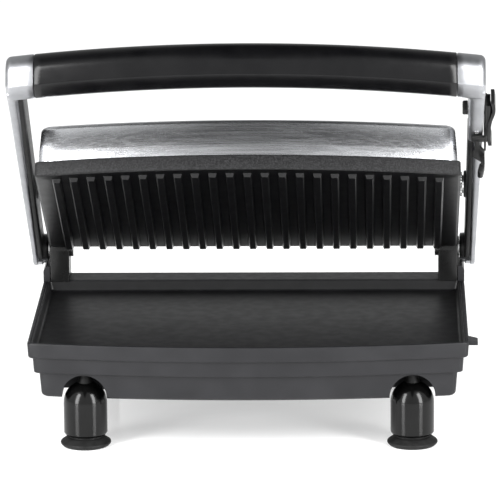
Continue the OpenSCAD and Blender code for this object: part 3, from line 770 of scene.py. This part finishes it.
def cap_screw_bore():
    """Tool for the sunk screw in the back of a handle cap."""
    back = BOW_Y - math.sqrt(BOW_R ** 2 - 173 ** 2) + HANDLE_R
    at = Matrix.Translation((173, back, 0)) @ Matrix.Rotation(-math.pi / 2, 4, "X")
    profile = [(0.01, -14), (2.02, -14), (2.02, -2.1), (3.6, -2.1), (3.6, 2), (0.01, 2)]
    return revolve(bmesh.new(), profile, at, 32)


def arm(side):
    bm = boolean(arm_bar(side), arm_cap(), "UNION")
    bm = boolean(bm, hinge_cup(), "UNION")
    bm = boolean(bm, pin_bore(PIN_R, 170, 183.1))
    bm = boolean(bm, core_bore(GRIP_HALF - 2, 180, 8))
    bm = boolean(bm, cap_screw_bore())
    if side == "right":
        bm = boolean(bm, latch_slot())
    else:
        bm = mirrored(bm)
    return piece(side + "_arm_casting", bm, ARM, "arms", SILVER, [side + "_arm"], sharp=30)


def latch_slot():
    """Tool for the slot that the latch's stem slides in."""
    outline = rounded([(-SLOT_TO, -SLOT_HALF, 1.5), (-SLOT_FROM, -SLOT_HALF, 1.5),
                       (-SLOT_FROM, SLOT_HALF, 1.5), (-SLOT_TO, SLOT_HALF, 1.5)], 5)
    turn = Matrix(((0, 0, 1, 0), (1, 0, 0, 0), (0, 1, 0, 0), (0, 0, 0, 1)))
    return extrude(bmesh.new(), outline, 165, 210, turn)


def arm_liner(side):
    """Black plastic strip inside the arm with bosses at the hinge and the lid pivot."""
    rings = []
    reach = 262 + 1.1 * (ARM_IN - LINER_IN)
    if side == "right":
        reach = PAD_FROM - 0.4
    edge = [(1.6, LINER_IN), (0.8, LINER_IN + 0.25), (0.2, LINER_IN + 0.9), (0, LINER_IN + 1.6)]
    for inset, x in edge + [(0, ARM_IN - 0.02)]:
        half = LINER_HALF - inset
        top = reach - inset
        ring = [(0, -half), (top - 3, -half), (top, 3 - half), (top, half - 3), (top - 3, half), (0, half)]
        rings.append([(x, -u, -n) for u, n in ring])
    bm = loft(bmesh.new(), rings)
    deep = ARM_IN - 0.1
    boss = [(0.01, 172.1), (9.6, 172.1), (10.6, 172.5), (BOSS_R, 173.4), (BOSS_R, deep), (0.01, deep)]
    bm = boolean(bm, turned_on_x(boss), "UNION")
    seat = [(0.01, 174), (10.4, 174), (BOSS_R, 174.5), (BOSS_R, deep), (0.01, deep)]
    at_pivot = Matrix.Translation((0, -PIVOT_REACH, 0))
    bm = boolean(bm, turned_on_x(seat, at_pivot), "UNION")
    bm = boolean(bm, pin_bore(PIN_R, 171, 182))
    bm = boolean(bm, pin_bore(LID_PIN_R, 171, 182, at_pivot))
    if side == "left":
        bm = mirrored(bm)
    return piece(side + "_liner", bm, ARM, "arms", MOULDED, [side + "_arm_liner"])


def pivot_collars():
    """Ribbed collars between each lid bracket and arm."""
    bm = bmesh.new()
    bore = LID_PIN_R + RUN_GAP
    profile = [(bore, 171.1), (9.6, 171.1), (10, 171.4), (10, 172.3), (9.6, 172.6), (7.6, 172.7),
               (7.6, 173.98), (bore, 173.98)]
    collar = turned_on_x(profile, Matrix.Translation((0, -PIVOT_REACH, 0)), 144, flutes=24, depth=0.7)
    mesh = bpy.data.meshes.new("collar")
    for drawing in (collar, mirrored(collar)):
        drawing.to_mesh(mesh)
        bm.from_mesh(mesh)
    return piece("pivot_collars", bm, ARM, "arms", BRIGHT, ["lid_pivot_washers"])


# ---- lid ----

def lid_ring(inset, z, radius):
    return bowed_ring(LID_FORM, inset, inset, inset, radius, z)


def rib_ring(x, front, rear, inset, z):
    """Outline of one rib at a height: its sides and ends lean in as it rises."""
    half = 3.65 - inset * 0.47
    y0 = front + inset
    y1 = rear - inset * 0.3
    corners = [(x - half, y0), (x + half, y0), (x + half, y1), (x - half, y1)]
    points = rounded([(cx, cy, 0.5) for cx, cy in corners], 2)
    return [(px, py, z) for px, py in points]


def grill_plate():
    """Ribbed casting: rough band outside, smooth coated ribs below."""
    bm = bmesh.new()
    shape = rounded([(40, PLATE_UNDER, 0), (0, PLATE_UNDER, 2.2), (0.3, BAND_TOP, 1.4), (11, BAND_TOP, 0.4),
                     (11, -21, 0.8), (40, -21, 0)])
    loft(bm, [lid_ring(i, z, 3.2) for i, z in shape])
    half, corner_y, sag, rear_y = LID_FORM
    bow_r = (half ** 2 + sag ** 2) / (2 * sag)
    profile = rounded([(-1.2, 0.06, 0), (0, 0, 0.9), (2.6, RIB_H, 0.7), (3.1, RIB_H, 0)], 4)
    for i in range(RIB_COUNT):
        x = (i - (RIB_COUNT - 1) / 2) * RIB_PITCH
        front = corner_y + bow_r - sag - math.sqrt(bow_r ** 2 - x * x) + 9
        loft(bm, [rib_ring(x, front, rear_y - 2.5, inset, PLATE_UNDER + 0.06 - rise)
                  for inset, rise in profile])
    for x in (-120, -45, 45, 120):
        block(bm, (x - 6, 66, BAND_TOP - 2), (x + 6, 75, BAND_TOP + 12), 0.6)

    def pick(face):
        z = face.calc_center_median().z
        upright = abs(face.normal.z) < 0.8
        on_band = (upright and z > PLATE_UNDER + 0.3) or z > BAND_TOP - 0.9
        return 0 if on_band else 1

    return piece("grill_plate", bm, LID, "lid", [CAST, RIBS], ["upper_plate"], pick=pick)


def cover():
    """Brushed shell with drafted sides, a rolled top edge and a slightly crowned top."""
    outside = rounded([(COVER_INSET, BAND_TOP + 0.05, 0), (3.0, BAND_TOP + 9, 12),
                       (4.6, COVER_TOP - 0.6, 5.0), (30, COVER_TOP - 0.1, 0)], 10)
    outside.append(Vector((70, COVER_TOP)))
    inside = rounded([(70, COVER_TOP - 1.5, 0), (30, COVER_TOP - 1.6, 0), (6.1, COVER_TOP - 2.1, 3.8),
                      (COVER_INSET + 1.5, BAND_TOP + 0.05, 0)], 8)
    rings = [lid_ring(i, z, 7 if i < 40 else 5) for i, z in outside]
    crown = len(rings)
    rings += [lid_ring(i, z, 6 if i < 40 else 5) for i, z in inside]
    bm = bmesh.new()
    rows = [[bm.verts.new(p) for p in ring] for ring in rings]
    for a, b in list(zip(rows[:crown], rows[1:crown])) + list(zip(rows[crown:], rows[crown + 1:])):
        band(bm, a, b)
    bm.faces.new(rows[crown - 1])
    bm.faces.new(rows[crown][::-1])
    band(bm, rows[-1], rows[0])
    holes = bmesh.new()
    for x in (-LENS_AT[0], LENS_AT[0]):
        revolve(holes, [(0.01, -4), (3.2, -4), (3.2, 4), (0.01, 4)],
                Matrix.Translation((x, LENS_AT[1], COVER_TOP)), 40)
    bm = boolean(bm, holes)
    side_hole = turned_on_x([(0.01, 160), (8.4, 160), (8.4, 171), (0.01, 171)])
    bm = boolean(bm, boolean(side_hole, mirrored(side_hole), "UNION"))
    return piece("steel_cover", bm, LID, "lid", STEEL, ["lid_cover"])


# ---- latch ----

def smooth_line(points, steps=6):
    """Points on a smooth curve through the given ones."""
    out = []
    pts = [Vector(p) for p in points]
    for i in range(len(pts) - 1):
        a, b = pts[max(i - 1, 0)], pts[i]
        c, d = pts[i + 1], pts[min(i + 2, len(pts) - 1)]
        for k in range(steps):
            t = k / steps
            out.append(0.5 * (2 * b + (c - a) * t + (2 * a - 5 * b + 4 * c - d) * t * t
                              + (3 * b - a - 3 * c + d) * t ** 3))
    out.append(pts[-1])
    return out


def thumb_piece():
    line = smooth_line([(194.2, 181.5), (192.9, 191), (192.8, 202), (193.0, 212), (193.7, 221),
                        (195.2, 229), (196.1, 236), (195.7, 243), (194.9, 248.6)])
    bm = extrude(bmesh.new(), ribbon([(p.x, p.y, 0) for p in line], 2.7), -7, 7, X_U, 0.8)
    block(bm, (188.95, -244, -6), (190.6, -185, 6), 0.5)
    for z in (-5.8, 4.2):
        block(bm, (189.5, -243, z), (193.4, -186, z + 1.6), 0.4)
    for u in (188, 198, 208, 218, 229, 240):
        block(bm, (189.5, -u - 1.7, -5.6), (193.4, -u, 5.6), 0.4)
    block(bm, (176.6, -236.3, -3.05), (189.5, -226.5, 3.05), 0.4)
    return piece("thumb_piece", bm, ARM, "latch", MOULDED, ["latch_thumb_grip"])


def hook():
    """Carrier around the arm with a slanted plate and a hanging hook below it."""
    bm = bmesh.new()
    block(bm, (188.95, -214, -16.4), (190.5, -190.2, -8.2), 0.4)
    block(bm, (178.5, -211, -16.4), (190.4, -204.2, -13.55), 0.7)
    plate = [(181.6, 206, 0.4), (185.0, 206, 0.4), (185.4, 196, 1.5), (189.6, 187.5, 1.6),
             (189.6, 174.2, 1.4), (187.2, 172.4, 1.2), (179.4, 182, 0.8), (181.2, 195, 1.5)]
    extrude(bm, rounded(plate, 4), -17.2, -13.6, X_U, 0.9)
    block(bm, (186.6, -183.6, -25.6), (189.6, -173.4, -14), 0.9)
    tip = [(189.7, 24.2, 1.6), (188.0, 32.6, 2.1), (183.4, 32.0, 2.0), (185.6, 23.2, 0.8)]
    extrude(bm, rounded(tip, 5), 173.4, 182.9, X_N, 0.9)
    return piece("hook", bm, ARM, "latch", MOULDED, ["latch_hook"])


def shoe():
    """Slider inside the arm, its screw sunk in the middle."""
    bm = bmesh.new()
    low = LATCH_SCREW_U - SHOE_HALF
    high = LATCH_SCREW_U + SHOE_HALF
    outline = rounded([(171.2, low, 1.6), (175.6, low, 0.6), (175.6, high, 0.6), (171.4, high, 1.8)], 5)
    extrude(bm, outline, -4.5, 4.5, X_U, 0.8)
    bore = turned_on_x([(0.01, 168), (2.8, 168), (2.8, 172.8), (1.52, 172.8), (1.52, 178), (0.01, 178)],
                       Matrix.Translation((0, -LATCH_SCREW_U, 0)), 24)
    bm = boolean(bm, bore)
    return piece("shoe", bm, ARM, "latch", MOULDED, ["latch_shoe"])


def dress(nodes, material, soft=0.0):
    """Finish for CAD nodes that keep their own shape, with softened edges if asked."""
    for name in nodes:
        obj = frame["nodes"][name]
        obj.data.materials.clear()
        obj.data.materials.append(material)
        if soft:
            obj.modifiers.new("join", "WELD").merge_threshold = 0.00001
            edge = obj.modifiers.new("edge", "BEVEL")
            edge.width = soft * MM
            edge.segments = 2
            edge.limit_method = "ANGLE"
            edge.angle_limit = math.radians(50)


housing()
bottom_panel()
tray()
for which in ("left", "right"):
    hinge_post(which)
    arm(which)
    arm_liner(which)
legs()
feet()
grip()
pivot_collars()
grill_plate()
cover()
thumb_piece()
hook()
shoe()

dress(["left_lid_bracket", "right_lid_bracket"], ZINC, 0.5)
dress(["cord_gland"], MOULDED, 0.5)
dress(["hinge_pins", "hinge_washers", "handle_core", "lid_pivot_pins"], ZINC)
dress(["leg_screws", "base_screws", "post_screws", "handle_screws", "arm_screws", "lid_screws",
       "bracket_screws", "latch_screw"], BRIGHT)
dress(["lower_heating_element", "upper_heating_element"], tube_metal())
dress(["lower_heat_shield", "upper_heat_shield"], zinc_steel("shield_steel", 150, 190, (0.3, 0.5)))
dress(["lower_thermostat", "upper_thermostat", "terminal_block", "thermal_fuse"], ceramic())
dress(["power_light_lens"], lens("red_lens", tint(120, 8, 6), tint(168, 22, 14)))
dress(["ready_light_lens"], lens("green_lens", tint(8, 84, 22), tint(20, 122, 40)))


# ---- studio ----

def floor():
    bm = bmesh.new()
    bmesh.ops.create_grid(bm, x_segments=4, y_segments=4, size=6)
    mesh = bpy.data.meshes.new("studio_floor")
    bm.to_mesh(mesh)
    material = bpy.data.materials.new("studio_floor")
    material.use_nodes = True
    shader = material.node_tree.nodes["Principled BSDF"]
    shader.inputs["Base Color"].default_value = (0.9, 0.9, 0.9, 1)
    shader.inputs["Roughness"].default_value = 0.12
    shader.inputs["Emission Color"].default_value = (1, 1, 1, 1)
    shader.inputs["Emission Strength"].default_value = 0.35
    mesh.materials.append(material)
    obj = bpy.data.objects.new("studio_floor", mesh)
    bpy.context.scene.collection.objects.link(obj)
    obj.location.z = -0.0002


def softbox(name, azimuth, elevation, distance, width, height, power):
    """Area light that faces the press. Azimuth 0 is the front, and 90 is the right."""
    a, e = math.radians(azimuth), math.radians(elevation)
    way = Vector((math.sin(a) * math.cos(e), -math.cos(a) * math.cos(e), math.sin(e)))
    light = bpy.data.lights.new(name, "AREA")
    light.shape = "RECTANGLE"
    light.size = width
    light.size_y = height
    light.energy = power
    obj = bpy.data.objects.new(name, light)
    bpy.context.scene.collection.objects.link(obj)
    obj.location = LIGHT_AIM + way * distance
    obj.rotation_euler = way.to_track_quat("Z", "Y").to_euler()
    obj.visible_camera = False


# What the lights face, in metres
LIGHT_AIM = Vector((0, 0, 0.13))
# The ceiling's lower edge as sine of elevation, low in the middle and higher at the sides
CEILING_SIDE = (0.03, 0.19, 0.57, 0.88)
# Brightness from just below that edge to well above it
CEILING_FADE = (-0.05, 0.10, 1.3, 0.05)
# Share of that brightness from the front to behind the press
BACK_SHARE = (-0.2, 0.5, 1.0, 0.4)


def surroundings():
    """White behind the press for the camera. For light, a bright room under a dark ceiling."""
    world = bpy.data.worlds.new("room")
    bpy.context.scene.world = world
    world.use_nodes = True
    tree = world.node_tree
    tree.nodes.clear()

    def add(kind, **values):
        node = tree.nodes.new(kind)
        for socket, value in values.items():
            node.inputs[socket.replace("_", " ")].default_value = value
        return node

    def math_node(operation, a, b=None):
        node = tree.nodes.new("ShaderNodeMath")
        node.operation = operation
        tree.links.new(a, node.inputs[0])
        if b is not None:
            tree.links.new(b, node.inputs[1])
        return node.outputs[0]

    def ramp(source, *ends):
        names = ("From_Min", "From_Max", "To_Min", "To_Max")
        node = add("ShaderNodeMapRange", **dict(zip(names, ends)))
        node.interpolation_type = "SMOOTHSTEP"
        tree.links.new(source, node.inputs["Value"])
        return node.outputs["Result"]

    place = add("ShaderNodeTexCoord")
    split = add("ShaderNodeSeparateXYZ")
    tree.links.new(place.outputs["Generated"], split.inputs["Vector"])
    edge = ramp(math_node("ABSOLUTE", split.outputs["X"]), *CEILING_SIDE)
    above = math_node("SUBTRACT", split.outputs["Z"], edge)
    room = add("ShaderNodeBackground", Color=(0.99, 1.0, 1.0, 1))
    bright = math_node("MULTIPLY", ramp(above, *CEILING_FADE), ramp(split.outputs["Y"], *BACK_SHARE))
    tree.links.new(bright, room.inputs["Strength"])
    seen = add("ShaderNodeBackground", Color=(1, 1, 1, 1))
    path = add("ShaderNodeLightPath")
    mix = add("ShaderNodeMixShader")
    tree.links.new(path.outputs["Is Camera Ray"], mix.inputs["Fac"])
    tree.links.new(room.outputs["Background"], mix.inputs[1])
    tree.links.new(seen.outputs["Background"], mix.inputs[2])
    out = add("ShaderNodeOutputWorld")
    tree.links.new(mix.outputs["Shader"], out.inputs["Surface"])


def camera():
    """A long lens in front of the press, a little above it and to its right."""
    target = Vector((hinge_at.x - 0.0005, 0.0045, 0.1365))
    distance = 4.0
    yaw = math.radians(-1.5)
    pitch = math.radians(13.5)
    roll = math.radians(-0.5)
    level = math.cos(pitch)
    ahead = Vector((math.sin(yaw) * level, math.cos(yaw) * level, -math.sin(pitch)))
    data = bpy.data.cameras.new("camera")
    data.sensor_width = 36
    data.lens = 353
    data.clip_end = 50
    obj = bpy.data.objects.new("camera", data)
    bpy.context.scene.collection.objects.link(obj)
    obj.location = target - ahead * distance
    turn = (-ahead).to_track_quat("Z", "Y").to_matrix().to_4x4() @ Matrix.Rotation(roll, 4, "Z")
    obj.rotation_euler = turn.to_euler()
    bpy.context.scene.camera = obj


floor()
softbox("left_strip", -44, 22, 1.8, 0.5, 1.6, 48)
softbox("right_strip", 46, 22, 1.8, 0.5, 1.6, 48)
surroundings()
camera()
bpy.context.scene.view_settings.view_transform = "Standard"
